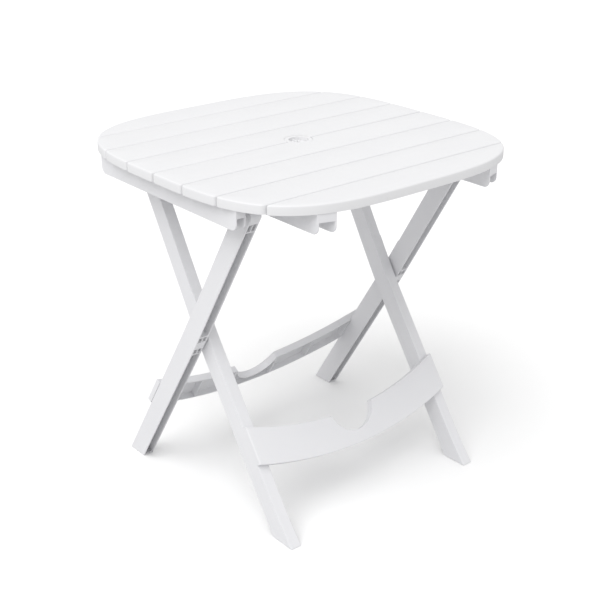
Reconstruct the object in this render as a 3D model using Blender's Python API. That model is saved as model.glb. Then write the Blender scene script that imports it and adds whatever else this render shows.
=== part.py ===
"""Folding resin table: eight slats on four rails, over two crossing leg frames.

Metres, +Z up. The origin is on the floor under the middle of the top. The slats
run along X, and the legs swing in planes square to X. The outer frame hangs from
two pins near the front (-Y) edge. The inner frame crosses it, turns on two pivot
pins, and ends in two pegs that slide along slots in the inner rails.
"""

import math

import bmesh
import bpy
from mathutils import Matrix, Vector

# Clearances
FIT_GAP = 0.0003            # between two pieces that touch
TURN_GAP = 0.0003           # all round a pin in its bore
OVERCUT = 0.001             # how far a cutter stands past the face it opens

# The top
TABLE_HEIGHT = 0.711
TOP_LENGTH = 0.692          # along X
TOP_WIDTH = 0.702           # along Y
TOP_SQUARENESS = 3.5        # exponent of the rounded-square outline
SLAT_COUNT = 8
END_SLAT_WIDTH = 0.0804     # the first and last slats, with half a gap each
SLAT_GAP = 0.0026
SLAT_DEPTH = 0.018
SLAT_SKIN = 0.0035          # thickness of the slat's upper face
SLAT_WALL = 0.0030          # thickness of its edges and ribs
SLAT_EDGE_ROUND = 0.0028
SLAT_CORNER_ROUND = 0.0040
SLAT_RIBS = 5               # cross ribs between the two inner rails, both included

# Sunshade ring and its plug, in the middle of the top
RING_FLANGE_RADIUS = 0.0285
RING_FLANGE_THICK = 0.0030
RING_SLEEVE_RADIUS = 0.0230
RING_BORE_RADIUS = 0.0200
RING_LEDGE_RADIUS = 0.0170
RING_LENGTH = 0.0210
PLUG_RECESS = 0.0070
PLUG_DEPTH = 0.0100
PLUG_WALL = 0.0020

# Rails: deep channels, open below, under the slats
RAIL_DEPTH = 0.040
RAIL_WALL = 0.0030
RAIL_CORNER_ROUND = 0.014
RAIL_TAB_HEIGHT = 0.017     # end wall that hangs below the slats
INNER_RAIL_WIDTH = 0.034
SIDE_RAIL_WIDTH = 0.022
SIDE_RAIL_INSET = 0.024     # from the ends of the middle slats
RAIL_END_INSET = 0.0012     # behind the top's outline
SIDE_RAIL_END_INSET = 0.0070

# Legs: channels that are open on the face turned to the other frame
LEG_WIDTH = 0.0245
INNER_LEG_DEPTH = 0.042
OUTER_LEG_DEPTH = 0.0435
LEG_WALL = 0.0030
LEG_TOP_RADIUS = 0.0230     # about the top pin
LEG_STEP = 0.0015           # the closed face is this much lower above the step
LEG_STEP_ABOVE_PIVOT = 0.084
SIDE_RAIL_TO_LEG_GAP = 0.0172
LEG_SIDE_GAP = 0.0045       # between the two frames, filled by the washer
LEG_TO_RAIL_GAP = 0.0028
SOLE_THICK = 0.0040
INNER_FOOT_FLARE = 0.005    # the closed face of the foot runs out by this
INNER_FOOT_HEIGHT = 0.055
CELL_WEB = 0.0030
CELL_RIB = 0.0020           # splits the short cells beside the pins
PIVOT_BOSS = 0.011          # half length of the solid boss at a pin
PIVOT_CELL = 0.0262         # from the pin to the web that closes the channel

# Leg geometry in the plane they swing in
PIVOT_Y = -0.005
PIVOT_Z = 0.358
TOP_PIN_DROP = 0.025        # below the slats
HINGE_INSET = 0.03245       # from the end of the side rail to the hinge pin
INNER_LOWER_SLOPE = 0.6955  # how far a leg runs out for each metre down
OUTER_LOWER_SLOPE = 0.631
BEND_REACH = 0.050          # the bend at the pivot is spread over this, each way

# Pins, pegs and washers
TOP_PIN_RADIUS = 0.0050
TOP_PIN_HEAD_RADIUS = 0.0085
TOP_PIN_HEAD_THICK = 0.0030
PIVOT_PIN_RADIUS = 0.0060
PIVOT_BORE_DEPTH = 0.0200
WASHER_RADIUS = 0.0130
CATCH_ARM = 0.0030
CATCH_THICK = 0.0100

# Stretchers: shallow shells, open on the side turned to the other frame
STRETCHER_PROUD = 0.0130    # how far the face stands off the legs
STRETCHER_DEPTH = 0.0170
STRETCHER_SKIN = 0.0028
STRETCHER_WALL = 0.0028
STRETCHER_END_OVERHANG = 0.0010
STRETCHER_EDGE_ROUND = 0.0015
FRONT_STRETCHER_DROPS = (0.246, 0.317)  # from the pivot to the middle of each edge
FRONT_STRETCHER_SAGS = (0.046, 0.038)   # how far the ends of each edge rise
REAR_STRETCHER_DROPS = (0.255, 0.320)
REAR_STRETCHER_SAGS = (0.070, 0.062)
NOTCH_RADIUS = 0.056
NOTCH_CENTRE_RISE = 0.011   # centre of the notch above the upper edge
STRETCHER_RIB_SPACING = 0.085

ARC_STEPS = 6               # segments in a quarter of a small round
PIN_SIDES = 32
RING_SIDES = 48

HALF_LENGTH = TOP_LENGTH / 2
HALF_WIDTH = TOP_WIDTH / 2
SLAT_UNDERSIDE = TABLE_HEIGHT - SLAT_DEPTH
RAIL_TOP = SLAT_UNDERSIDE - FIT_GAP
RAIL_BOTTOM = SLAT_UNDERSIDE - RAIL_DEPTH
SLAT_PITCH = (TOP_WIDTH - 2 * END_SLAT_WIDTH) / (SLAT_COUNT - 2)
SIDE_RAIL_OUTER_X = HALF_LENGTH - SIDE_RAIL_INSET
SIDE_RAIL_INNER_X = SIDE_RAIL_OUTER_X - SIDE_RAIL_WIDTH
SIDE_RAIL_X = SIDE_RAIL_OUTER_X - SIDE_RAIL_WIDTH / 2
OUTER_LEG_OUTER_X = SIDE_RAIL_INNER_X - SIDE_RAIL_TO_LEG_GAP
OUTER_LEG_INNER_X = OUTER_LEG_OUTER_X - LEG_WIDTH
INNER_LEG_OUTER_X = OUTER_LEG_INNER_X - LEG_SIDE_GAP
INNER_LEG_INNER_X = INNER_LEG_OUTER_X - LEG_WIDTH
INNER_RAIL_OUTER_X = INNER_LEG_INNER_X - LEG_TO_RAIL_GAP
INNER_RAIL_X = INNER_RAIL_OUTER_X - INNER_RAIL_WIDTH / 2
SIDES = (("left", -1), ("right", 1))


def outline_y(x, inset=0.0):
    """Half the width of the top at x."""
    share = min(1.0, abs(x) / (HALF_LENGTH - inset)) ** TOP_SQUARENESS
    return (HALF_WIDTH - inset) * (1 - share) ** (1 / TOP_SQUARENESS)


SIDE_RAIL_HALF_LENGTH = outline_y(SIDE_RAIL_OUTER_X) - SIDE_RAIL_END_INSET
HINGE_Y = HINGE_INSET - SIDE_RAIL_HALF_LENGTH
TOP_PIN_REACH = PIVOT_Y - HINGE_Y
PEG_Y = PIVOT_Y + TOP_PIN_REACH
TOP_PIN_Z = SLAT_UNDERSIDE - TOP_PIN_DROP
TOP_PIN_LENGTHWISE = math.hypot(TOP_PIN_REACH, TOP_PIN_Z - PIVOT_Z)


# ---------------------------------------------------------------- building blocks

def clear_scene():
    """Remove every object that the file opened with."""
    for obj in list(bpy.data.objects):
        bpy.data.objects.remove(obj, do_unlink=True)


def resin(name, shade, roughness):
    """White moulded polypropylene."""
    material = bpy.data.materials.new(name)
    material.use_nodes = True
    shader = material.node_tree.nodes["Principled BSDF"]
    shader.inputs["Base Color"].default_value = (shade, shade, shade, 1.0)
    shader.inputs["Roughness"].default_value = roughness
    shader.inputs["Metallic"].default_value = 0.0
    return material


def add_object(name, bm, material=None, parent=None):
    """Turn a bmesh into a named object with outward faces."""
    bmesh.ops.recalc_face_normals(bm, faces=bm.faces)
    mesh = bpy.data.meshes.new(name)
    bm.to_mesh(mesh)
    bm.free()
    obj = bpy.data.objects.new(name, mesh)
    bpy.context.scene.collection.objects.link(obj)
    if material:
        mesh.materials.append(material)
    if parent:
        obj.parent = parent
        obj.matrix_parent_inverse = Matrix.Translation(-parent.location)
    return obj


def shade_round(obj):
    """Smooth the round faces and keep the real edges sharp."""
    obj.data.shade_smooth()
    obj.data.set_sharp_from_angle(angle=math.radians(35))


def cut(obj, cutter_bm):
    """Subtract a shape from an object with a live Boolean."""
    cutter = add_object(obj.name + "_cutter", cutter_bm)
    cutter.hide_render = True
    cutter.display_type = "WIRE"
    modifier = obj.modifiers.new("cut", "BOOLEAN")
    modifier.operation = "DIFFERENCE"
    modifier.solver = "EXACT"
    modifier.object = cutter


def add_joint_empty(name, y, z):
    """An empty on a joint's axis, which runs along X."""
    empty = bpy.data.objects.new(name, None)
    empty.empty_display_size = 0.05
    empty.location = (0.0, y, z)
    bpy.context.scene.collection.objects.link(empty)
    return empty


def add_prism(bm, outline, place, low, high):
    """Add a closed prism. place(u, v, w) puts an outline point (u, v) at depth w."""
    near = [bm.verts.new(place(u, v, low)) for u, v in outline]
    far = [bm.verts.new(place(u, v, high)) for u, v in outline]
    bm.faces.new(near)
    bm.faces.new(far)
    for index in range(len(outline)):
        other = (index + 1) % len(outline)
        bm.faces.new((near[index], near[other], far[other], far[index]))
    return near, far


def add_lathe(bm, profile, centre, sides, axis="Z"):
    """Turn a profile of (radius, height) points about an axis through centre.

    A profile that starts and ends on the axis makes a solid of revolution, and
    any other profile is a closed loop that makes a ring.
    """
    rings = []
    for radius, height in profile:
        count = sides if radius > 0 else 1
        ring = []
        for index in range(count):
            angle = 2 * math.pi * index / sides
            across = radius * math.cos(angle)
            along = radius * math.sin(angle)
            offset = (across, along, height) if axis == "Z" else (height, across, along)
            ring.append(bm.verts.new(Vector(centre) + Vector(offset)))
        rings.append(ring)
    pairs = list(zip(rings, rings[1:]))
    if len(rings[0]) > 1:
        pairs.append((rings[-1], rings[0]))
    for first, second in pairs:
        for index in range(sides):
            other = (index + 1) % sides
            corners = [first[index % len(first)], first[other % len(first)],
                       second[other % len(second)], second[index % len(second)]]
            bm.faces.new(list(dict.fromkeys(corners)))


def add_rod(bm, x_low, x_high, y, z, radius):
    """Add a round bar along X."""
    profile = [(0, x_low), (radius, x_low), (radius, x_high), (0, x_high)]
    add_lathe(bm, profile, (0, y, z), PIN_SIDES, axis="X")


def arc(centre, radius, start, end, steps):
    """Points of an arc in the plane, with angles in degrees."""
    points = []
    for index in range(steps + 1):
        angle = math.radians(start + (end - start) * index / steps)
        points.append((centre[0] + radius * math.cos(angle), centre[1] + radius * math.sin(angle)))
    return points


def in_plan(x, y, z):
    """Place an outline drawn in plan."""
    return (x, y, z)


def seen_from_side(y, z, x):
    """Place an outline drawn in the plane that the legs swing in."""
    return (x, y, z)


def span(first, second):
    """Order two numbers."""
    return min(first, second), max(first, second)


# ---------------------------------------------------------------- the slatted top

def outline_at_angle(angle, inset=0.0):
    """A point of the top's rounded-square outline."""
    cosine, sine = math.cos(angle), math.sin(angle)
    power = 2 / TOP_SQUARENESS
    x = (HALF_LENGTH - inset) * math.copysign(abs(cosine) ** power, cosine)
    y = (HALF_WIDTH - inset) * math.copysign(abs(sine) ** power, sine)
    return (x, y)


def angle_at_y(y, inset=0.0):
    """Outline angle, on the +X side, at which the outline reaches y."""
    share = min(1.0, abs(y) / (HALF_WIDTH - inset)) ** (TOP_SQUARENESS / 2)
    return math.copysign(math.asin(share), y)


def slat_edges(index):
    """The slat's two long edges along Y, front first. The end slats reach the rim."""
    front = (index - SLAT_COUNT / 2) * SLAT_PITCH
    low = -HALF_WIDTH if index == 0 else front + SLAT_GAP / 2
    high = HALF_WIDTH if index == SLAT_COUNT - 1 else front + SLAT_PITCH - SLAT_GAP / 2
    return low, high


def end_curve(low, high, inset=0.0, steps=6):
    """The outline on the +X side from y=low to y=high."""
    first, last = angle_at_y(low, inset), angle_at_y(high, inset)
    return [outline_at_angle(first + (last - first) * i / steps, inset) for i in range(steps + 1)]


def slat_outline(low, high):
    """The slat's plan, counter-clockwise."""
    rim_slat = abs(low) > HALF_WIDTH - SLAT_WALL or abs(high) > HALF_WIDTH - SLAT_WALL
    right = end_curve(low, high, steps=14 if rim_slat else 6)
    left = [(-x, y) for x, y in reversed(right)]
    points = []
    for point in right + left:
        if not points or math.dist(point, points[-1]) > FIT_GAP:
            points.append(point)
    if math.dist(points[0], points[-1]) < FIT_GAP:
        points.pop()
    return points


def slat_cells(low, high, keep_clear):
    """Plans of the pockets under a slat, between its ribs."""
    floor = low + SLAT_WALL if low > -HALF_WIDTH else None
    ceiling = high - SLAT_WALL if high < HALF_WIDTH else None
    rib_pitch = 2 * INNER_RAIL_X / (SLAT_RIBS - 1)
    ribs = [-INNER_RAIL_X + rib_pitch * index for index in range(SLAT_RIBS)]
    cells = []
    for first, second in zip(ribs, ribs[1:]):
        start, end = first + SLAT_WALL / 2, second - SLAT_WALL / 2
        if first < 0 <= second and keep_clear:
            end = min(end, -keep_clear)
        if first <= 0 < second and keep_clear:
            start = max(start, keep_clear)
        cells.append(middle_cell(start, end, floor, ceiling))
    end_start = ribs[-1] + SLAT_WALL / 2
    end_cell = end_pocket(end_start, floor, ceiling)
    cells.append(end_cell)
    cells.append([(-x, y) for x, y in end_cell])
    return cells


def middle_cell(start, end, floor, ceiling, steps=4):
    """A pocket between two ribs. A rim slat's pocket follows the rim."""
    if floor is not None and ceiling is not None:
        return [(start, floor), (end, floor), (end, ceiling), (start, ceiling)]
    rim_side = -1 if floor is None else 1
    straight = ceiling if floor is None else floor
    points = [(start, straight), (end, straight)]
    for index in range(steps + 1):
        x = end + (start - end) * index / steps
        points.append((x, rim_side * outline_y(x, SLAT_WALL)))
    return points


def end_pocket(start, floor, ceiling):
    """The pocket at the +X end of a slat, past the last rib."""
    if floor is not None and ceiling is not None:
        curve = end_curve(floor, ceiling, SLAT_WALL)
        return [(start, floor)] + curve + [(start, ceiling)]
    rim_side = -1 if floor is None else 1
    straight = ceiling if floor is None else floor
    rim_start = rim_side * outline_y(start, SLAT_WALL)
    curve = end_curve(rim_start, straight, SLAT_WALL, steps=8)
    return [(start, straight)] + curve[::-1]


def build_slat(index, material):
    """One moulded slat: a skin with turned-down edges and ribs, open below."""
    low, high = slat_edges(index)
    bm = bmesh.new()
    add_prism(bm, slat_outline(low, high), in_plan, SLAT_UNDERSIDE, TABLE_HEIGHT)
    corners = []
    for edge in bm.edges:
        upright = abs(edge.verts[0].co.z - edge.verts[1].co.z) > SLAT_DEPTH / 2
        if upright and edge.calc_face_angle(0) > math.radians(30):
            corners.append(edge)
    bmesh.ops.bevel(bm, geom=corners, offset=SLAT_CORNER_ROUND, segments=3,
                    profile=0.5, affect="EDGES")
    rim = [e for e in bm.edges if all(v.co.z > TABLE_HEIGHT - OVERCUT for v in e.verts)]
    bmesh.ops.bevel(bm, geom=rim, offset=SLAT_EDGE_ROUND, segments=2,
                    profile=0.5, affect="EDGES")
    slat = add_object("slat_%d" % (index + 1), bm, material)

    beside_ring = index in (SLAT_COUNT // 2 - 1, SLAT_COUNT // 2)
    keep_clear = RING_FLANGE_RADIUS + SLAT_WALL if beside_ring else 0.0
    pockets = bmesh.new()
    for cell in slat_cells(low, high, keep_clear):
        add_prism(pockets, cell, in_plan, SLAT_UNDERSIDE - OVERCUT, TABLE_HEIGHT - SLAT_SKIN)
    cut(slat, pockets)
    if beside_ring:
        cut(slat, ring_seat())
    return slat


def ring_seat():
    """The stepped hole for the ring, shared by the two middle slats."""
    flange = RING_FLANGE_RADIUS + FIT_GAP
    sleeve = RING_SLEEVE_RADIUS + FIT_GAP
    step = TABLE_HEIGHT - RING_FLANGE_THICK - FIT_GAP
    bm = bmesh.new()
    profile = [(0, SLAT_UNDERSIDE - OVERCUT), (sleeve, SLAT_UNDERSIDE - OVERCUT), (sleeve, step),
               (flange, step), (flange, TABLE_HEIGHT + OVERCUT), (0, TABLE_HEIGHT + OVERCUT)]
    add_lathe(bm, profile, (0, 0, 0), RING_SIDES)
    return bm


def build_ring(material):
    """The flanged ring that lines the sunshade hole."""
    top, low = TABLE_HEIGHT, TABLE_HEIGHT - RING_LENGTH
    step = top - RING_FLANGE_THICK
    ledge = top - PLUG_RECESS - PLUG_DEPTH - FIT_GAP
    bm = bmesh.new()
    profile = [(RING_BORE_RADIUS, top), (RING_FLANGE_RADIUS, top), (RING_FLANGE_RADIUS, step),
               (RING_SLEEVE_RADIUS, step), (RING_SLEEVE_RADIUS, low), (RING_LEDGE_RADIUS, low),
               (RING_LEDGE_RADIUS, ledge), (RING_BORE_RADIUS, ledge)]
    add_lathe(bm, profile, (0, 0, 0), RING_SIDES)
    shade_round(add_object("sunshade_ring", bm, material))


def build_plug(material, parent):
    """The cup-shaped plug that closes the sunshade hole and lifts out."""
    top = TABLE_HEIGHT - PLUG_RECESS
    low = top - PLUG_DEPTH
    radius = RING_BORE_RADIUS - TURN_GAP
    inside = radius - PLUG_WALL
    bm = bmesh.new()
    profile = [(0, top), (radius, top), (radius, low), (inside, low),
               (inside, top - PLUG_WALL), (0, top - PLUG_WALL)]
    add_lathe(bm, profile, (0, 0, 0), RING_SIDES)
    shade_round(add_object("sunshade_plug", bm, material, parent))


# ---------------------------------------------------------------- rails

def rail_outline(half_length):
    """Side view of a rail, with its lower corners rounded."""
    inner = half_length - RAIL_CORNER_ROUND
    centre_z = RAIL_BOTTOM + RAIL_CORNER_ROUND
    points = [(half_length, RAIL_TOP), (-half_length, RAIL_TOP)]
    points += arc((-inner, centre_z), RAIL_CORNER_ROUND, 180, 270, ARC_STEPS)
    points += arc((inner, centre_z), RAIL_CORNER_ROUND, 270, 360, ARC_STEPS)
    return points


def rail_hollow(half_length):
    """Side view of the channel's inside. It is open below and under the end tabs."""
    under_tab = SLAT_UNDERSIDE - RAIL_TAB_HEIGHT
    below, ceiling = RAIL_BOTTOM - OVERCUT, RAIL_TOP - RAIL_WALL
    beyond, inside = half_length + OVERCUT, half_length - RAIL_WALL
    return [(-beyond, below), (beyond, below), (beyond, under_tab), (inside, under_tab),
            (inside, ceiling), (-inside, ceiling), (-inside, under_tab), (-beyond, under_tab)]


def build_rail(name, centre_x, width, half_length, material, ends_follow_rim=False):
    """One channel-shaped rail, without the holes for pins."""

    def with_rim(y, z, x):
        """Place a point of the side view so that the ends slant with the top's rim."""
        longer = outline_y(x) - outline_y(centre_x) if ends_follow_rim else 0.0
        return (x, y + math.copysign(1, y) * longer, z)

    bm = bmesh.new()
    add_prism(bm, rail_outline(half_length), with_rim,
              centre_x - width / 2, centre_x + width / 2)
    rail = add_object(name, bm, material)
    inside = width / 2 - RAIL_WALL
    hollow = bmesh.new()
    add_prism(hollow, rail_hollow(half_length), with_rim,
              centre_x - inside, centre_x + inside)
    cut(rail, hollow)
    return rail


def build_inner_rail(name, side, material):
    """Long rail under all the slats, with the slot that the frame's peg runs in."""
    half_length = outline_y(INNER_RAIL_X) - RAIL_END_INSET
    rail = build_rail(name, side * INNER_RAIL_X, INNER_RAIL_WIDTH, half_length, material, True)
    radius = TOP_PIN_RADIUS + TURN_GAP
    stadium = arc((PEG_Y, TOP_PIN_Z), radius, -90, 90, 2 * ARC_STEPS)
    stadium += arc((HINGE_Y, TOP_PIN_Z), radius, 90, 270, 2 * ARC_STEPS)
    slot = bmesh.new()
    low, high = span(side * (INNER_RAIL_OUTER_X - RAIL_WALL - OVERCUT),
                     side * (INNER_RAIL_OUTER_X + OVERCUT))
    add_prism(slot, stadium, seen_from_side, low, high)
    cut(rail, slot)


def build_side_rail(name, side, material):
    """Short rail under the slat ends, with the hole for the hinge pin."""
    rail = build_rail(name, side * SIDE_RAIL_X, SIDE_RAIL_WIDTH, SIDE_RAIL_HALF_LENGTH, material)
    low, high = span(side * (SIDE_RAIL_INNER_X - OVERCUT),
                     side * (SIDE_RAIL_INNER_X + RAIL_WALL + OVERCUT))
    bore = bmesh.new()
    add_rod(bore, low, high, HINGE_Y, TOP_PIN_Z, TOP_PIN_RADIUS + FIT_GAP)
    cut(rail, bore)


def build_catch(name, side, material):
    """Hook inside the inner rail that the peg slides back into when the table is up."""
    gap = TOP_PIN_RADIUS + TURN_GAP
    low_z, high_z = TOP_PIN_Z - gap - CATCH_ARM, RAIL_TOP - RAIL_WALL - FIT_GAP
    mouth_y, back_y = PEG_Y - gap, PEG_Y + gap + CATCH_ARM
    outline = [(mouth_y, low_z), (back_y, low_z), (back_y, high_z), (mouth_y, high_z)]
    outline += [(mouth_y, TOP_PIN_Z + gap)]
    outline += arc((PEG_Y, TOP_PIN_Z), gap, 90, -90, 2 * ARC_STEPS)
    outline += [(mouth_y, TOP_PIN_Z - gap)]
    outer = INNER_RAIL_OUTER_X - RAIL_WALL - FIT_GAP
    low, high = span(side * outer, side * (outer - CATCH_THICK))
    bm = bmesh.new()
    add_prism(bm, outline, seen_from_side, low, high)
    add_object(name, bm, material)


# ---------------------------------------------------------------- leg frames

class LegLine:
    """Centre line of one frame's legs in the YZ plane, with its bend at the pivot.

    lean is +1 for the inner frame, whose top is at the back, and -1 for the outer.
    Lengths along the line count from the pivot, positive towards the foot.
    """

    def __init__(self, lean, lower_slope, depth):
        self.lean = lean
        self.half_depth = depth / 2
        self.pivot = Vector((PIVOT_Y, PIVOT_Z))
        self.up = Vector((lean * TOP_PIN_REACH, TOP_PIN_Z - PIVOT_Z)).normalized()
        self.down = Vector((-lean * lower_slope, -1)).normalized()

    def point(self, along):
        """Point of the centre line and its direction towards the foot."""
        if along >= BEND_REACH:
            return self.pivot + self.down * along, self.down
        if along <= -BEND_REACH:
            return self.pivot - self.up * along, -self.up
        share = (along + BEND_REACH) / (2 * BEND_REACH)
        start = self.pivot + self.up * BEND_REACH
        end = self.pivot + self.down * BEND_REACH
        place = start * (1 - share) ** 2 + self.pivot * 2 * share * (1 - share) + end * share ** 2
        heading = (self.pivot - start) * (1 - share) + (end - self.pivot) * share
        return place, heading.normalized()

    def offset(self, along, outwards):
        """Point beside the line, outwards to the closed face of the leg."""
        place, heading = self.point(along)
        normal = Vector((heading.y, -heading.x)) * self.lean
        return tuple(place + normal * outwards)

    def at_height(self, height, outwards):
        """Point on the lower leg's face at a height over the floor."""
        foot = Vector(self.offset(BEND_REACH, outwards))
        along = BEND_REACH + (height - foot.y) / self.down.y
        return tuple(Vector(self.offset(along, outwards)))

    def run(self, start, end, outwards):
        """Points beside the line from start to end, closer together in the bend."""
        stops = [start]
        for index in range(5):
            stop = -BEND_REACH + 2 * BEND_REACH * index / 4
            if start + FIT_GAP < stop < end - FIT_GAP:
                stops.append(stop)
        stops.append(end)
        return [self.offset(stop, outwards) for stop in stops]


def leg_outline(line, foot_flare):
    """Side view of a leg: closed face, round top, open face, flat sole."""
    half = line.half_depth
    step = -LEG_STEP_ABOVE_PIVOT
    points = [line.at_height(0, half + foot_flare)]
    if foot_flare:
        points.append(line.at_height(INNER_FOOT_HEIGHT, half))
    points += line.run(step, 2 * BEND_REACH, half)[::-1]
    points.append(line.offset(step - 2 * LEG_STEP, half - LEG_STEP))
    first = math.acos(min((half - LEG_STEP) / LEG_TOP_RADIUS, 1.0))
    last = math.pi - math.acos(min(half / LEG_TOP_RADIUS, 1.0))
    for index in range(2 * ARC_STEPS + 1):
        angle = first + (last - first) * index / (2 * ARC_STEPS)
        points.append(line.offset(-TOP_PIN_LENGTHWISE - LEG_TOP_RADIUS * math.sin(angle),
                                  LEG_TOP_RADIUS * math.cos(angle)))
    points += line.run(-2 * BEND_REACH, 2 * BEND_REACH, -half)
    points.append(line.at_height(0, -half))
    return points


def leg_cells(line):
    """Side views of the pockets in the leg's open face: the long ones, then the short."""
    deep = line.half_depth - LEG_WALL
    shallow = -line.half_depth - OVERCUT
    top = -TOP_PIN_LENGTHWISE
    upper_deep = deep - LEG_STEP
    channel = PIVOT_CELL + CELL_WEB

    def pocket(start, end, outwards):
        return line.run(start, end, outwards) + line.run(start, end, shallow)[::-1]

    lower_start = line.run(channel, 2 * BEND_REACH, deep)
    lower_back = line.run(channel, 2 * BEND_REACH, shallow)
    lower = lower_start + [line.at_height(SOLE_THICK, deep), line.at_height(SOLE_THICK, shallow)]
    long_cells = [lower + lower_back[::-1], pocket(top + channel, -channel, upper_deep)]
    short_cells = [pocket(PIVOT_BOSS, PIVOT_CELL, deep), pocket(-PIVOT_CELL, -PIVOT_BOSS, deep),
                   pocket(top + TOP_PIN_RADIUS + CELL_WEB, top + PIVOT_CELL, upper_deep)]
    return long_cells, short_cells


def build_leg(name, line, side, inner_x, bore_side_x, foot_flare, material, parent):
    """One channel-section leg with its pin bores."""
    outer_x = inner_x + LEG_WIDTH
    low, high = span(side * inner_x, side * outer_x)
    bm = bmesh.new()
    add_prism(bm, leg_outline(line, foot_flare), seen_from_side, low, high)
    leg = add_object(name, bm, material, parent)
    pockets = bmesh.new()
    long_cells, short_cells = leg_cells(line)
    middle = (low + high) / 2
    for cell in long_cells:
        add_prism(pockets, cell, seen_from_side, low + LEG_WALL, high - LEG_WALL)
    for cell in short_cells:
        add_prism(pockets, cell, seen_from_side, low + LEG_WALL, middle - CELL_RIB / 2)
        add_prism(pockets, cell, seen_from_side, middle + CELL_RIB / 2, high - LEG_WALL)
    cut(leg, pockets)
    top_y, top_z = line.offset(-TOP_PIN_LENGTHWISE, 0)
    bores = bmesh.new()
    add_rod(bores, low - OVERCUT, high + OVERCUT, top_y, top_z, TOP_PIN_RADIUS + TURN_GAP)
    inwards = 1 if bore_side_x == inner_x else -1
    start, end = span(side * (bore_side_x - inwards * OVERCUT),
                      side * (bore_side_x + inwards * PIVOT_BORE_DEPTH))
    add_rod(bores, start, end, PIVOT_Y, PIVOT_Z, PIVOT_PIN_RADIUS + TURN_GAP)
    cut(leg, bores)


# ---------------------------------------------------------------- stretchers

def sagging_edge(middle, sag, half_length, x):
    """How far down the leg an edge lies at x. The ends are higher than the middle."""
    radius = (half_length ** 2 + sag ** 2) / (2 * sag)
    return middle - radius + math.sqrt(radius ** 2 - x ** 2)


class StretcherShape:
    """Outline of one stretcher, drawn flat: x across and down along the leg."""

    def __init__(self, drops, sags, half_length):
        self.upper_middle, self.lower_middle = drops
        self.upper_sag, self.lower_sag = sags
        self.half_length = half_length
        self.notch_centre = self.upper_middle - NOTCH_CENTRE_RISE

    def upper(self, x):
        return sagging_edge(self.upper_middle, self.upper_sag, self.half_length, x)

    def lower(self, x):
        return sagging_edge(self.lower_middle, self.lower_sag, self.half_length, x)

    def outline(self):
        """The whole outline with its hand notch."""
        notch_x = self.notch_half_width()
        steps = 9
        half = self.half_length
        points = []
        for index in range(steps + 1):
            x = -half + (half - notch_x) * index / steps
            points.append((x, self.upper(x)))
        dip = math.degrees(math.asin((self.upper(notch_x) - self.notch_centre) / NOTCH_RADIUS))
        points += arc((0, self.notch_centre), NOTCH_RADIUS, 180 - dip, dip, 16)[1:-1]
        for index in range(steps + 1):
            x = notch_x + (half - notch_x) * index / steps
            points.append((x, self.upper(x)))
        for index in range(2 * steps + 1):
            x = half - 2 * half * index / (2 * steps)
            points.append((x, self.lower(x)))
        return points

    def notch_half_width(self):
        """Half the width of the notch where it meets the upper edge."""
        rise = self.upper(NOTCH_RADIUS) - self.notch_centre
        return math.sqrt(NOTCH_RADIUS ** 2 - rise ** 2)

    def cell(self, start, end, steps=5):
        """A pocket between two ribs, inside the edge walls."""
        under_notch = abs(start) < NOTCH_RADIUS and abs(end) < NOTCH_RADIUS + STRETCHER_WALL
        around_notch = NOTCH_RADIUS + STRETCHER_WALL
        steps = 2 * steps if under_notch else steps
        xs = [start + (end - start) * index / steps for index in range(steps + 1)]
        above = []
        for x in xs:
            edge = self.upper(x)
            if under_notch:
                edge = self.notch_centre + math.sqrt(around_notch ** 2 - x ** 2) - STRETCHER_WALL
            above.append((x, edge + STRETCHER_WALL))
        below = [(x, self.lower(x) - STRETCHER_WALL) for x in reversed(xs)]
        return above + below


def build_stretcher(name, line, drops, sags, leg_inner_x, material, parent):
    """A curved stretcher that ties two legs together, proud of their closed faces."""
    shape = StretcherShape(drops, sags, leg_inner_x + LEG_WIDTH + STRETCHER_END_OVERHANG)
    normal = Vector((line.down.y, -line.down.x)) * line.lean
    face = line.half_depth + STRETCHER_PROUD
    back = face - STRETCHER_DEPTH

    def on_frame(x, down, out):
        """Place a point by its distance across, down the leg and out from its centre."""
        spot = line.pivot + line.down * down + normal * out
        return (x, spot.x, spot.y)

    bm = bmesh.new()
    _, outer_ring = add_prism(bm, shape.outline(), on_frame, back, face)
    outer = set(outer_ring)
    rim = [edge for edge in bm.edges if edge.verts[0] in outer and edge.verts[1] in outer]
    bmesh.ops.bevel(bm, geom=rim, offset=STRETCHER_EDGE_ROUND, segments=1,
                    profile=0.5, affect="EDGES")
    stretcher = add_object(name, bm, material, parent)

    inner = leg_inner_x - FIT_GAP
    beyond = shape.half_length + OVERCUT
    low = shape.lower_middle + OVERCUT
    seats = bmesh.new()
    for side in (-1, 1):
        seat = [(side * inner, 0), (side * beyond, 0), (side * beyond, low), (side * inner, low)]
        add_prism(seats, seat, on_frame, back - OVERCUT, line.half_depth + FIT_GAP)
    cut(stretcher, seats)

    notch_rib = NOTCH_RADIUS + STRETCHER_WALL * 2
    last = inner - STRETCHER_WALL
    count = max(1, round((last - notch_rib) / STRETCHER_RIB_SPACING))
    pitch = (last - notch_rib + STRETCHER_WALL) / count
    pockets = bmesh.new()
    ceiling = face - STRETCHER_SKIN
    cells = [(-NOTCH_RADIUS + OVERCUT, NOTCH_RADIUS - OVERCUT)]
    for index in range(count):
        start = notch_rib + pitch * index
        end = start + pitch - STRETCHER_WALL
        cells += [(start, end), (-end, -start)]
    for start, end in cells:
        add_prism(pockets, shape.cell(start, end), on_frame, back - OVERCUT, ceiling)
    cut(stretcher, pockets)


# ---------------------------------------------------------------- pins

def build_rod(name, side, x_inner, x_outer, y, z, radius, material, parent=None):
    """A plain round pin or peg."""
    low, high = span(side * x_inner, side * x_outer)
    bm = bmesh.new()
    add_rod(bm, low, high, y, z, radius)
    shade_round(add_object(name, bm, material, parent))


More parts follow.
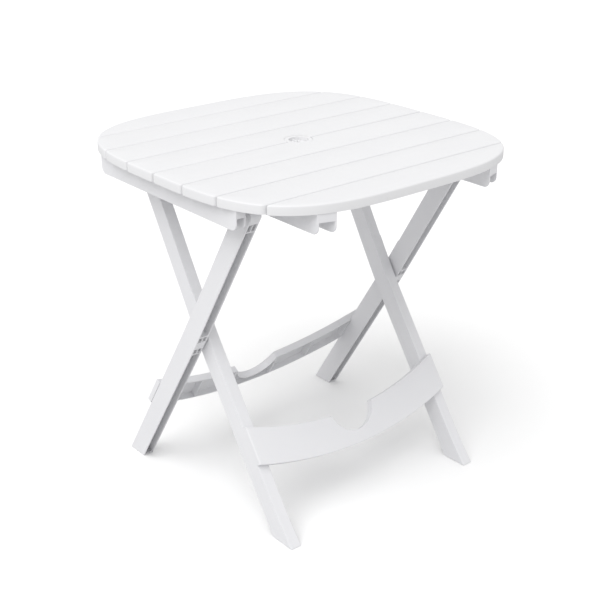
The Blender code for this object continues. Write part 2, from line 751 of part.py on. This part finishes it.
def build_hinge_pin(name, side, material):
    """Headed pin through the side rail's inner wall into the outer frame's leg."""
    head = SIDE_RAIL_INNER_X + RAIL_WALL + FIT_GAP
    tip = OUTER_LEG_INNER_X + FIT_GAP
    profile = [(0, side * tip), (TOP_PIN_RADIUS, side * tip), (TOP_PIN_RADIUS, side * head),
               (TOP_PIN_HEAD_RADIUS, side * head),
               (TOP_PIN_HEAD_RADIUS, side * (head + TOP_PIN_HEAD_THICK)),
               (0, side * (head + TOP_PIN_HEAD_THICK))]
    bm = bmesh.new()
    add_lathe(bm, profile, (0, HINGE_Y, TOP_PIN_Z), PIN_SIDES, axis="X")
    shade_round(add_object(name, bm, material))


def build_washer(name, side, material, parent):
    """Spacer between the two frames at the pivot."""
    low, high = span(side * (INNER_LEG_OUTER_X + FIT_GAP), side * (OUTER_LEG_INNER_X - FIT_GAP))
    bore = PIVOT_PIN_RADIUS + TURN_GAP
    bm = bmesh.new()
    profile = [(bore, low), (WASHER_RADIUS, low), (WASHER_RADIUS, high), (bore, high)]
    add_lathe(bm, profile, (0, PIVOT_Y, PIVOT_Z), PIN_SIDES, axis="X")
    shade_round(add_object(name, bm, material, parent))


# ---------------------------------------------------------------- the table

def build_table():
    clear_scene()
    slat_resin = resin("slat_resin", 0.86, 0.45)
    frame_resin = resin("frame_resin", 0.80, 0.50)
    pin_resin = resin("pin_resin", 0.78, 0.40)

    plug_axis = add_joint_empty("plug_lift_axis", 0.0, TABLE_HEIGHT)
    outer_axis = add_joint_empty("outer_frame_axis", HINGE_Y, TOP_PIN_Z)
    inner_axis = add_joint_empty("inner_frame_axis", PIVOT_Y, PIVOT_Z)

    for index in range(SLAT_COUNT):
        build_slat(index, slat_resin)
    build_ring(slat_resin)
    build_plug(slat_resin, plug_axis)

    inner_line = LegLine(1, INNER_LOWER_SLOPE, INNER_LEG_DEPTH)
    outer_line = LegLine(-1, OUTER_LOWER_SLOPE, OUTER_LEG_DEPTH)
    for label, side in SIDES:
        build_inner_rail("inner_rail_" + label, side, frame_resin)
        build_side_rail("side_rail_" + label, side, frame_resin)
        build_catch("catch_" + label, side, frame_resin)
        build_hinge_pin("hinge_pin_" + label, side, pin_resin)
        build_leg("outer_leg_" + label, outer_line, side, OUTER_LEG_INNER_X,
                  OUTER_LEG_INNER_X, 0.0, frame_resin, outer_axis)
        build_leg("inner_leg_" + label, inner_line, side, INNER_LEG_INNER_X,
                  INNER_LEG_OUTER_X, INNER_FOOT_FLARE, frame_resin, inner_axis)
        build_rod("pivot_pin_" + label, side,
                  INNER_LEG_OUTER_X - PIVOT_BORE_DEPTH + FIT_GAP,
                  OUTER_LEG_INNER_X + PIVOT_BORE_DEPTH - FIT_GAP,
                  PIVOT_Y, PIVOT_Z, PIVOT_PIN_RADIUS, pin_resin, outer_axis)
        build_washer("pivot_washer_" + label, side, pin_resin, outer_axis)
        build_rod("slide_peg_" + label, side,
                  INNER_RAIL_OUTER_X - RAIL_WALL - CATCH_THICK,
                  INNER_LEG_OUTER_X - LEG_WALL,
                  PEG_Y, TOP_PIN_Z, TOP_PIN_RADIUS, pin_resin, inner_axis)
    build_stretcher("front_stretcher", inner_line, FRONT_STRETCHER_DROPS, FRONT_STRETCHER_SAGS,
                    INNER_LEG_INNER_X, frame_resin, inner_axis)
    build_stretcher("rear_stretcher", outer_line, REAR_STRETCHER_DROPS, REAR_STRETCHER_SAGS,
                    OUTER_LEG_INNER_X, frame_resin, outer_axis)


build_table()
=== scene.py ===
import math

import bmesh
import bpy
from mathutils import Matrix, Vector


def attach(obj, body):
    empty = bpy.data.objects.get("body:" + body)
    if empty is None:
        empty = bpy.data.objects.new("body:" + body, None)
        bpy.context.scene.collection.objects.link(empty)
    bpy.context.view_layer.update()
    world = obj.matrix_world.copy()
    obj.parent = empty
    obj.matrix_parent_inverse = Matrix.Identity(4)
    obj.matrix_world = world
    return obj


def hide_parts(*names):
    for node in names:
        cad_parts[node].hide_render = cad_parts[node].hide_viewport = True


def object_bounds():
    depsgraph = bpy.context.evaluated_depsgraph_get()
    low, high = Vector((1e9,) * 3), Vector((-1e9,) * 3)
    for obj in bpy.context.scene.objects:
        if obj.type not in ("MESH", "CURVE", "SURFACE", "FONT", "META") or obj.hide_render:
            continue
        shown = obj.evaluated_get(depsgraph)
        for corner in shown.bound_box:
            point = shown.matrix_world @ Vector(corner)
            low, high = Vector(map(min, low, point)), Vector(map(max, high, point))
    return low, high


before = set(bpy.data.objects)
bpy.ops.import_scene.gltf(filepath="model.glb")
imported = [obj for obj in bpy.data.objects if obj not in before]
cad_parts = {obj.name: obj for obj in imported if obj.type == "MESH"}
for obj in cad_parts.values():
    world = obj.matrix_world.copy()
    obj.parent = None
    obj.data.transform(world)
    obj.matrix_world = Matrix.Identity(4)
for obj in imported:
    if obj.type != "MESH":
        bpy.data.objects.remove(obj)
cad_low, cad_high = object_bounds()
scene = bpy.context.scene

# ---------------------------------------------------------------- camera
# A standing eye's view of the table, from the front left corner and above it.

CAMERA_PLACE = (-1.44509, -1.74879, 1.35811)
CAMERA_DOWN, CAMERA_TURN = 23.7114, -39.6457      # degrees
CAMERA_LENS, CAMERA_SENSOR = 70.468, 36.0         # millimetres
CAMERA_SIGHT = 100.0
camera_data = bpy.data.cameras.new("camera")
camera_data.lens, camera_data.sensor_width = CAMERA_LENS, CAMERA_SENSOR
camera_data.clip_end = CAMERA_SIGHT
camera = bpy.data.objects.new("camera", camera_data)
camera.location = CAMERA_PLACE
camera.rotation_euler = (math.radians(90 - CAMERA_DOWN), 0.0, math.radians(CAMERA_TURN))
scene.collection.objects.link(camera)
scene.camera = camera

# ---------------------------------------------------------------- slats
# Eight polypropylene mouldings, side by side with a narrow gap, make the top.
# Each is a thin skin with turned-down edges and cross ribs, open underneath, and
# its ends follow one rounded-square outline.

SLAT_COUNT = 8
SLAT_PITCH = 0.0902
SLAT_GAP = 0.0026
SLAT_DEPTH = 0.018
SLAT_SKIN = 0.0035
SLAT_WALL = 0.0030
SLAT_EDGE_RADIUS = 0.0034
SLAT_CORNER_RADIUS = 0.0055
TOP_SQUARENESS = 3.5
RIB_COUNT = 5
RIB_SPREAD = 0.419            # from the first cross rib to the last
RING_SEAT_RADIUS = 0.0288
END_POINTS = 28               # points along each end of a slat
SLAT_RINGS = 10               # rings of points, from the upper face round to the inside
EDGE_STEPS = 4                # rings after the first that roll over the upper edge
FOOT_RING, WALL_RING, SKIN_RING = 6, 7, 8         # down the side, in, and up inside
SPINE_SHARE = 0.88            # of the outline's reach, where the faces close
LEAST_CORNER = 0.0008
RING_SEAT_SIDES = 96
WELD = 0.00002


def add(tree, kind, inputs=(), **settings):
    """Add a node, set its properties and fill its inputs with values or outputs."""
    node = tree.nodes.new(kind)
    for name, value in settings.items():
        setattr(node, name, value)
    for key, value in dict(inputs).items():
        socket = node.inputs[key]
        if isinstance(value, bpy.types.NodeSocket):
            tree.links.new(value, socket)
        else:
            socket.default_value = value
    return node


def linear(hex_colour):
    """The linear colour of an sRGB hex value."""
    channels = [int(hex_colour[i:i + 2], 16) / 255 for i in (1, 3, 5)]
    return tuple(c / 12.92 if c <= 0.04045 else ((c + 0.055) / 1.055) ** 2.4
                 for c in channels) + (1.0,)


def moulded_polypropylene(name, colour, cloud_colour, roughness, grain_mm, grain_height_mm):
    """White injection-moulded polypropylene.

    The mould is spark-eroded, so the surface has a fine grain that breaks up its
    sheen. Titanium dioxide makes it opaque, and the melt leaves faint clouds in it.
    The real grain is about 0.3 mm across and is drawn coarser, so that it shows.
    """
    material = bpy.data.materials.new(name)
    material.use_nodes = True
    tree = material.node_tree
    shader = tree.nodes["Principled BSDF"]
    shader.inputs["IOR"].default_value = 1.49
    here = add(tree, "ShaderNodeTexCoord").outputs["Object"]
    clouds = add(tree, "ShaderNodeTexNoise", {"Vector": here, "Scale": 1 / 0.09,
                                              "Detail": 3.0, "Roughness": 0.55})
    tint = add(tree, "ShaderNodeMix", {"Factor": clouds.outputs["Fac"], 6: linear(colour),
                                       7: linear(cloud_colour)}, data_type="RGBA")
    grain = add(tree, "ShaderNodeTexNoise", {"Vector": here, "Scale": 1000 / grain_mm,
                                             "Detail": 2.0, "Roughness": 0.5})
    sheen = add(tree, "ShaderNodeMapRange", {"Value": grain.outputs["Fac"], "From Min": 0.3,
                                             "From Max": 0.7, "To Min": roughness - 0.05,
                                             "To Max": roughness + 0.07})
    bump = add(tree, "ShaderNodeBump", {"Height": grain.outputs["Fac"], "Strength": 0.6,
                                        "Distance": grain_height_mm / 1000})
    tree.links.new(tint.outputs[2], shader.inputs["Base Color"])
    tree.links.new(sheen.outputs["Result"], shader.inputs["Roughness"])
    tree.links.new(bump.outputs["Normal"], shader.inputs["Normal"])
    return material


slat_resin = moulded_polypropylene("slat_polypropylene", "#E8E8E9", "#E3E3E5", 0.46, 1.6, 0.05)


def slatted_top_tree():
    """Geometry Nodes that lay out every slat and its ribs from the top's sizes."""
    tree = bpy.data.node_groups.new("slatted_top", "GeometryNodeTree")
    tree.is_modifier = True
    for name in ("Half length", "Half width", "Squareness", "Slat pitch", "Gap", "Height",
                 "Depth", "Edge radius", "Corner radius", "Skin", "Wall", "Rib spread",
                 "Ring seat radius"):
        tree.interface.new_socket(name, in_out="INPUT", socket_type="NodeSocketFloat")
    tree.interface.new_socket("Material", in_out="INPUT", socket_type="NodeSocketMaterial")
    tree.interface.new_socket("Geometry", in_out="OUTPUT", socket_type="NodeSocketGeometry")

    # What the sums below may read: the sizes, each point's place and what is stored on it
    value = {socket.name.lower(): socket for socket in add(tree, "NodeGroupInput").outputs}
    value["index"] = add(tree, "GeometryNodeInputIndex").outputs[0]
    position = add(tree, "GeometryNodeInputPosition").outputs[0]
    for axis, socket in zip("xyz", add(tree, "ShaderNodeSeparateXYZ", {0: position}).outputs):
        value["here " + axis] = socket
    for name in ("slat", "copy", "line x", "around", "ring"):
        value[name] = add(tree, "GeometryNodeInputNamedAttribute", {"Name": name},
                          data_type="FLOAT").outputs["Attribute"]

    sums = [
        # Which point of the sheet this is, and which slat and copy a shape stands for
        ("column", "MULTIPLY_ADD", "here x", 2 * END_POINTS, END_POINTS),
        ("column", "ROUND", "column"),
        ("row", "MULTIPLY_ADD", "here y", SLAT_RINGS - 1, (SLAT_RINGS - 1) / 2),
        ("row", "ROUND", "row"),
        ("rib's slat", "DIVIDE", "index", RIB_COUNT),
        ("rib's slat", "FLOOR", "rib's slat"),
        ("rib's turn", "MODULO", "index", RIB_COUNT),
        # How far each ring of points lies inside the outline and below the upper face
        ("turn", "SUBTRACT", "ring", 1.0),
        ("turn", "MULTIPLY", "turn", math.pi / 2 / EDGE_STEPS),
        ("turn", "MAXIMUM", "turn", 0.0),
        ("turn", "MINIMUM", "turn", math.pi / 2),
        ("rolled in", "SINE", "turn"),
        ("rolled in", "SUBTRACT", 1.0, "rolled in"),
        ("rolled in", "MULTIPLY", "rolled in", "edge radius"),
        ("inside wall", "GREATER_THAN", "ring", WALL_RING - 0.5),
        ("skin inset", "MULTIPLY_ADD", "inside wall", "wall", "rolled in"),
        ("drop", "COSINE", "turn"),
        ("drop", "SUBTRACT", 1.0, "drop"),
        ("drop", "MULTIPLY", "drop", "edge radius"),
        ("at foot", "GREATER_THAN", "ring", FOOT_RING - 0.5),
        ("upright", "SUBTRACT", "depth", "edge radius"),
        ("drop", "MULTIPLY_ADD", "at foot", "upright", "drop"),
        ("under skin", "GREATER_THAN", "ring", SKIN_RING - 0.5),
        ("back up", "SUBTRACT", "skin", "depth"),
        ("drop", "MULTIPLY_ADD", "under skin", "back up", "drop"),
        ("skin z", "SUBTRACT", "height", "drop"),
        ("first ring", "LESS_THAN", "ring", 0.5),
        ("last ring", "GREATER_THAN", "ring", SLAT_RINGS - 1.5),
        ("on spine", "MAXIMUM", "first ring", "last ring"),
        ("reach x", "SUBTRACT", "half length", "skin inset"),
        ("skin reach", "SUBTRACT", "half width", "skin inset"),
        # Where a cross rib stands, and how wide the top is there
        ("power", "DIVIDE", 1.0, "squareness"),
        ("rib x", "DIVIDE", "copy", RIB_COUNT - 1),
        ("rib x", "SUBTRACT", "rib x", 0.5),
        ("rib x", "MULTIPLY", "rib x", "rib spread"),
        ("share", "ABSOLUTE", "rib x"),
        ("share", "DIVIDE", "share", "half length"),
        ("share", "POWER", "share", "squareness"),
        ("share", "SUBTRACT", 1.0, "share"),
        ("share", "POWER", "share", "power"),
        ("rib reach", "MULTIPLY", "share", "half width"),
        ("rib reach", "SUBTRACT", "rib reach", "wall"),
        ("rib inset", "MULTIPLY", "wall", 0.5),
        ("front", "SUBTRACT", "slat", SLAT_COUNT / 2),
        ("front", "MULTIPLY", "front", "slat pitch"),
        ("back", "ADD", "front", "slat pitch"),
    ]
    for part in ("skin", "rib"):
        sums += [
            # The slat's long edges, which the first and last slat share with the rim
            ("margin", "MULTIPLY_ADD", "gap", 0.5, part + " inset"),
            ("cut low", "ADD", "front", "margin"),
            ("cut high", "SUBTRACT", "back", "margin"),
            ("rim low", "MULTIPLY", part + " reach", -1.0),
            (part + " low", "MAXIMUM", "cut low", "rim low"),
            (part + " high", "MINIMUM", "cut high", part + " reach"),
            (part + " front rim", "LESS_THAN", "cut low", "rim low"),
            (part + " back rim", "GREATER_THAN", "cut high", part + " reach"),
        ]
    sums += [("half power", "MULTIPLY", "squareness", 0.5)]
    for edge in ("low", "high"):
        sums += [
            # The angle on the rounded square at which this edge meets it
            ("share", "ABSOLUTE", "skin " + edge),
            ("share", "DIVIDE", "share", "skin reach"),
            ("share", "MINIMUM", "share", 1.0),
            ("share", "POWER", "share", "half power"),
            ("share", "ARCSINE", "share"),
            ("side", "SIGN", "skin " + edge),
            (edge + " angle", "MULTIPLY", "share", "side"),
        ]
    sums += [
        # Points run along one end of the slat and back along the other
        ("step", "MODULO", "around", 2 * END_POINTS),
        ("on left", "GREATER_THAN", "step", END_POINTS - 0.5),
        ("along", "MODULO", "step", END_POINTS),
        ("along", "DIVIDE", "along", END_POINTS - 1),
        ("along", "SUBTRACT", "on left", "along"),
        ("along", "ABSOLUTE", "along"),
        ("along", "MULTIPLY", "along", math.pi),
        ("along", "COSINE", "along"),
        ("along", "MULTIPLY_ADD", "along", -0.5, 0.5),
        ("spread", "SUBTRACT", "high angle", "low angle"),
        ("angle", "MULTIPLY_ADD", "spread", "along", "low angle"),
        ("two powers", "MULTIPLY", "power", 2.0),
        ("side", "SIGN", "angle"),
        ("angle", "ABSOLUTE", "angle"),
        ("y", "SINE", "angle"),
        ("y", "POWER", "y", "two powers"),
        ("y", "MULTIPLY", "y", "side"),
        ("y", "MULTIPLY", "y", "skin reach"),
        ("outline x", "COSINE", "angle"),
        ("outline x", "MAXIMUM", "outline x", 0.0),
        ("outline x", "POWER", "outline x", "two powers"),
        ("outline x", "MULTIPLY", "outline x", "reach x"),
        # Small radii where the ends meet the gaps, but none at the rim
        ("corner", "SUBTRACT", "corner radius", "skin inset"),
        ("corner", "MAXIMUM", "corner", LEAST_CORNER),
        ("from low", "SUBTRACT", "y", "skin low"),
        ("from low", "ADD", "from low", "skin front rim"),
        ("from high", "SUBTRACT", "skin high", "y"),
        ("from high", "ADD", "from high", "skin back rim"),
        ("inside", "MINIMUM", "from low", "from high"),
        ("inside", "SUBTRACT", "corner", "inside"),
        ("inside", "MAXIMUM", "inside", 0.0),
        ("inside", "MINIMUM", "inside", "corner"),
        ("inside", "MULTIPLY", "inside", "inside"),
        ("pulled in", "MULTIPLY", "corner", "corner"),
        ("pulled in", "SUBTRACT", "pulled in", "inside"),
        ("pulled in", "MAXIMUM", "pulled in", 0.0),
        ("pulled in", "SQRT", "pulled in"),
        ("pulled in", "SUBTRACT", "corner", "pulled in"),
        ("x", "SUBTRACT", "outline x", "pulled in"),
        ("x", "MAXIMUM", "x", 0.0),
        # The first and last rings close on a line along the middle of the slat
        ("middle", "ADD", "skin low", "skin high"),
        ("middle", "MULTIPLY", "middle", 0.5),
        ("share", "ABSOLUTE", "middle"),
        ("share", "DIVIDE", "share", "skin reach"),
        ("share", "POWER", "share", "squareness"),
        ("share", "SUBTRACT", 1.0, "share"),
        ("share", "POWER", "share", "power"),
        ("spine x", "MULTIPLY", "share", "reach x"),
        ("spine x", "MULTIPLY", "spine x", SPINE_SHARE),
        ("spine x", "MINIMUM", "spine x", "x"),
        ("spine x", "SUBTRACT", "spine x", "x"),
        ("x", "MULTIPLY_ADD", "spine x", "on spine", "x"),
        ("spine y", "SUBTRACT", "middle", "y"),
        ("skin y", "MULTIPLY_ADD", "spine y", "on spine", "y"),
        ("side", "MULTIPLY_ADD", "on left", -2.0, 1.0),
        ("skin x", "MULTIPLY", "x", "side"),
        # A unit cube becomes a plate that crosses its slat below the skin
        ("thick", "SUBTRACT", "here x", "line x"),
        ("rib x", "MULTIPLY_ADD", "thick", "wall", "rib x"),
        ("wide", "SUBTRACT", "rib high", "rib low"),
        ("share", "ADD", "here y", 0.5),
        ("rib y", "MULTIPLY_ADD", "wide", "share", "rib low"),
        ("tall", "SUBTRACT", "depth", "skin"),
        ("share", "ADD", "here z", 0.5),
        ("share", "MULTIPLY", "share", "tall"),
        ("rib z", "SUBTRACT", "height", "depth"),
        ("rib z", "ADD", "rib z", "share"),
    ]
    for result, operation, *terms in sums:
        value[result] = add(tree, "ShaderNodeMath",
                            {place: value.get(term, term) for place, term in enumerate(terms)},
                            operation=operation).outputs[0]

    # A sheet that wraps round each slat, and a plate for each of its ribs
    sheet = add(tree, "GeometryNodeMeshGrid", {"Size X": 1.0, "Size Y": 1.0,
                                               "Vertices X": 2 * END_POINTS + 1,
                                               "Vertices Y": SLAT_RINGS}).outputs["Mesh"]
    for name, result in (("around", "column"), ("ring", "row")):
        sheet = add(tree, "GeometryNodeStoreNamedAttribute",
                    {"Geometry": sheet, "Name": name, "Value": value[result]},
                    data_type="FLOAT", domain="POINT").outputs["Geometry"]
    plate = add(tree, "GeometryNodeMeshCube", {"Size": (1.0, 1.0, 1.0)}).outputs["Mesh"]
    shaped = {}
    for part, shape, copies, slat in (("skin", sheet, 1, "index"),
                                      ("rib", plate, RIB_COUNT, "rib's slat")):
        points = add(tree, "GeometryNodeMeshLine", {"Count": SLAT_COUNT * copies,
                                                    "Offset": (2.0, 0.0, 0.0)}).outputs[0]
        for name, result in (("slat", slat), ("copy", "rib's turn"), ("line x", "here x")):
            points = add(tree, "GeometryNodeStoreNamedAttribute",
                         {"Geometry": points, "Name": name, "Value": value[result]},
                         data_type="FLOAT", domain="POINT").outputs["Geometry"]
        copied = add(tree, "GeometryNodeInstanceOnPoints", {"Points": points, "Instance": shape})
        loose = add(tree, "GeometryNodeRealizeInstances", {0: copied.outputs[0]})
        place = add(tree, "ShaderNodeCombineXYZ",
                    {axis: value["%s %s" % (part, letter)] for axis, letter in enumerate("xyz")})
        shaped[part] = add(tree, "GeometryNodeSetPosition",
                           {"Geometry": loose.outputs[0], "Position": place.outputs[0]})

    # The hole for the ring, shared by the two middle slats
    closed = add(tree, "GeometryNodeMergeByDistance", {"Geometry": shaped["skin"].outputs[0],
                                                       "Distance": WELD})
    drill = add(tree, "GeometryNodeMeshCylinder", {"Vertices": RING_SEAT_SIDES, "Depth": 0.1,
                                                   "Radius": value["ring seat radius"]})
    height = add(tree, "ShaderNodeCombineXYZ", {2: value["height"]})
    drill = add(tree, "GeometryNodeTransform", {"Geometry": drill.outputs["Mesh"],
                                                "Translation": height.outputs[0]})
    drilled = add(tree, "GeometryNodeMeshBoolean", {"Mesh 1": closed.outputs[0],
                                                    "Mesh 2": drill.outputs[0]},
                  operation="DIFFERENCE", solver="EXACT")
    joined = add(tree, "GeometryNodeJoinGeometry", {0: shaped["rib"].outputs[0]})
    tree.links.new(drilled.outputs["Mesh"], joined.inputs[0])
    whole = add(tree, "GeometryNodeRealizeInstances", {0: joined.outputs[0]})
    painted = add(tree, "GeometryNodeSetMaterial", {"Geometry": whole.outputs[0],
                                                    "Material": value["material"]})
    add(tree, "NodeGroupOutput", {"Geometry": painted.outputs[0]})
    return tree


def grown(name, tree, values, sharp_degrees):
    """Run a Geometry Nodes tree on an empty mesh and keep its result as a plain piece."""
    seed = bpy.data.objects.new(name + "_seed", bpy.data.meshes.new(name + "_seed"))
    scene.collection.objects.link(seed)
    modifier = seed.modifiers.new("grow", "NODES")
    modifier.node_group = tree
    for item in tree.interface.items_tree:
        if item.name in values:
            modifier[item.identifier] = values[item.name]
    bpy.context.view_layer.update()
    grown_mesh = bpy.data.meshes.new_from_object(
        seed.evaluated_get(bpy.context.evaluated_depsgraph_get()))
    bpy.data.objects.remove(seed)
    shape = bmesh.new()
    shape.from_mesh(grown_mesh)
    bmesh.ops.remove_doubles(shape, verts=shape.verts, dist=0.00001)
    bmesh.ops.recalc_face_normals(shape, faces=shape.faces)
    shape.to_mesh(grown_mesh)
    shape.free()
    grown_mesh.name = name
    grown_mesh.shade_smooth()
    grown_mesh.set_sharp_from_angle(angle=math.radians(sharp_degrees))
    piece = bpy.data.objects.new(name, grown_mesh)
    scene.collection.objects.link(piece)
    return piece


slats = grown("top_slats", slatted_top_tree(),
              {"Half length": cad_high.x, "Half width": cad_high.y,
               "Squareness": TOP_SQUARENESS, "Slat pitch": SLAT_PITCH, "Gap": SLAT_GAP,
               "Height": cad_high.z, "Depth": SLAT_DEPTH, "Edge radius": SLAT_EDGE_RADIUS,
               "Corner radius": SLAT_CORNER_RADIUS, "Skin": SLAT_SKIN, "Wall": SLAT_WALL,
               "Rib spread": RIB_SPREAD, "Ring seat radius": RING_SEAT_RADIUS,
               "Material": slat_resin}, 40)
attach(slats, "table_top")
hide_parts(*["slat_%d" % (number + 1) for number in range(SLAT_COUNT)])

# ---------------------------------------------------------------- rails and catches
# Four deep channels of the same polypropylene run under the slats, in an inner and a
# side pair, and the legs stand between them. A catch on each inner rail holds the
# inner legs. The mould leaves a small radius on every edge.

frame_resin = moulded_polypropylene("frame_polypropylene", "#E9E9EB", "#E5E5E8", 0.42, 2.0, 0.04)
EDGE_RADIUS = 0.0009
SHARP_ANGLE = 28              # degrees: an edge that turns more than this is rounded


def radiused(node, body, radius, material, partings=()):
    """A copy of a CAD node with its edges rounded, in place of the node.

    Flat faces become one face each, but stay parted at the given planes, so that a
    face with many openings isn't closed over them.
    """
    shape = bmesh.new()
    shape.from_mesh(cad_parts[node].data)
    bmesh.ops.remove_doubles(shape, verts=shape.verts, dist=WELD)
    parted = set()
    for point, direction in partings:
        whole = shape.verts[:] + shape.edges[:] + shape.faces[:]
        found = bmesh.ops.bisect_plane(shape, geom=whole, plane_co=point, plane_no=direction)
        parted.update(part for part in found["geom_cut"] if isinstance(part, bmesh.types.BMEdge))
    bmesh.ops.dissolve_limit(shape, angle_limit=math.radians(0.05), verts=shape.verts,
                             edges=[edge for edge in shape.edges if edge not in parted])
    bmesh.ops.recalc_face_normals(shape, faces=shape.faces)
    mesh = bpy.data.meshes.new(node + "_moulding")
    shape.to_mesh(mesh)
    shape.free()
    mesh.materials.append(material)
    mesh.shade_smooth()
    piece = bpy.data.objects.new(node + "_moulding", mesh)
    scene.collection.objects.link(piece)
    rounding = piece.modifiers.new("edge radius", "BEVEL")
    rounding.width = radius
    rounding.segments = 2
    rounding.use_clamp_overlap = False
    rounding.limit_method = "ANGLE"
    rounding.angle_limit = math.radians(SHARP_ANGLE)
    flattening = piece.modifiers.new("flat faces", "WEIGHTED_NORMAL")
    flattening.weight = 80
    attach(piece, body)
    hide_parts(node)
    return piece


for side in ("left", "right"):
    for moulding in ("inner_rail_", "side_rail_", "catch_"):
        radiused(moulding + side, "table_top", EDGE_RADIUS, frame_resin)

# ---------------------------------------------------------------- legs
# Two crossed pairs of channel mouldings, open along their front or rear edge, with
# cross webs beside each pin. The outer pair hangs from the side rails, and the
# inner pair crosses it and comes up to the catches.

PIVOT = Vector((0.0, -0.005, 0.358))
TOP_PINS = {"outer": Vector((0.0, -0.189, 0.668)), "inner": Vector((0.0, 0.179, 0.668))}
POCKET_MIDDLES = (0.344, 0.170, 0.0185, -0.0185, -0.200)      # along the leg from the pivot
for pair, top_pin in TOP_PINS.items():
    upwards = (top_pin - PIVOT).normalized()
    across_pockets = [(PIVOT + distance * upwards, upwards) for distance in POCKET_MIDDLES]
    for side in ("left", "right"):
        radiused("%s_leg_%s" % (pair, side), pair + "_frame", EDGE_RADIUS, frame_resin,
                 across_pockets)

# ---------------------------------------------------------------- stretchers
# A curved apron low down joins each pair of legs. It is moulded with a round hand
# notch in its upper edge and stiffening ribs behind its face.

STRETCHER_RADIUS = 0.0010
POCKET_PLACES = (-0.2125, -0.1275, -0.0425, 0.0425, 0.1275, 0.2125)
for stretcher, body in (("rear_stretcher", "outer_frame"), ("front_stretcher", "inner_frame")):
    radiused(stretcher, body, STRETCHER_RADIUS, frame_resin,
             [((x, 0.0, 0.0), (1.0, 0.0, 0.0)) for x in POCKET_PLACES])

# ---------------------------------------------------------------- sunshade ring and plug
# A flanged ring lines the hole in the middle of the top, flush with the slats, and
# a cup-shaped plug of the same resin snaps in on its ledge, a few millimetres down.

RING_RADIUS = 0.0004
radiused("sunshade_ring", "table_top", RING_RADIUS, slat_resin)
radiused("sunshade_plug", "plug", RING_RADIUS, slat_resin)

# ---------------------------------------------------------------- pins, pegs and washers
# Acetal pins, smoother and harder than the frame, carry the joints: one through the
# top of each outer leg, one with a washer where the legs cross, and a peg on each
# inner leg that rests in its catch.

PIN_RADIUS = 0.0005
pin_resin = moulded_polypropylene("pin_acetal", "#E2E2E4", "#DEDEE1", 0.30, 1.2, 0.01)
for side in ("left", "right"):
    for pin, body in (("hinge_pin_", "table_top"), ("pivot_pin_", "outer_frame"),
                      ("pivot_washer_", "outer_frame"), ("slide_peg_", "inner_frame")):
        radiused(pin + side, body, PIN_RADIUS, pin_resin)

# ---------------------------------------------------------------- floor and lights
# A seamless pale floor, an even sky and one large soft lamp up on the left. The
# floor throws back a little less light than it shows, as under studio flags.

FLOOR_REACH = 40.0
SKY_STRENGTH = 0.78
LAMP_STRENGTH = 1.5
LAMP_ANGLE = math.radians(50)
LAMP_DIRECTION = (0.66, 0.20, -1.0)
floor_paint = bpy.data.materials.new("studio_floor")
floor_paint.use_nodes = True
floor_shader = floor_paint.node_tree.nodes["Principled BSDF"]
floor_shader.inputs["Roughness"].default_value = 0.9
seen = add(floor_paint.node_tree, "ShaderNodeLightPath").outputs["Is Camera Ray"]
floor_tint = add(floor_paint.node_tree, "ShaderNodeMix",
                 {"Factor": seen, 6: linear("#D4D4D4"), 7: linear("#FFFFFF")}, data_type="RGBA")
floor_paint.node_tree.links.new(floor_tint.outputs[2], floor_shader.inputs["Base Color"])
floor_z = cad_low.z - 0.0005
floor_mesh = bpy.data.meshes.new("floor")
floor_corners = [(x * FLOOR_REACH, y * FLOOR_REACH, floor_z)
                 for x, y in ((-1, -1), (1, -1), (1, 1), (-1, 1))]
floor_mesh.from_pydata(floor_corners, [], [(0, 1, 2, 3)])
floor_mesh.materials.append(floor_paint)
floor = bpy.data.objects.new("floor", floor_mesh)
scene.collection.objects.link(floor)

sky = bpy.data.worlds.new("studio")
sky.use_nodes = True
sky.node_tree.nodes["Background"].inputs["Color"].default_value = linear("#FFFFFF")
sky.node_tree.nodes["Background"].inputs["Strength"].default_value = SKY_STRENGTH
scene.world = sky
lamp_data = bpy.data.lights.new("key", "SUN")
lamp_data.energy = LAMP_STRENGTH
lamp_data.angle = LAMP_ANGLE
lamp = bpy.data.objects.new("key", lamp_data)
lamp.rotation_euler = Vector(LAMP_DIRECTION).to_track_quat("-Z", "Y").to_euler()
scene.collection.objects.link(lamp)
scene.view_settings.view_transform = "Standard"
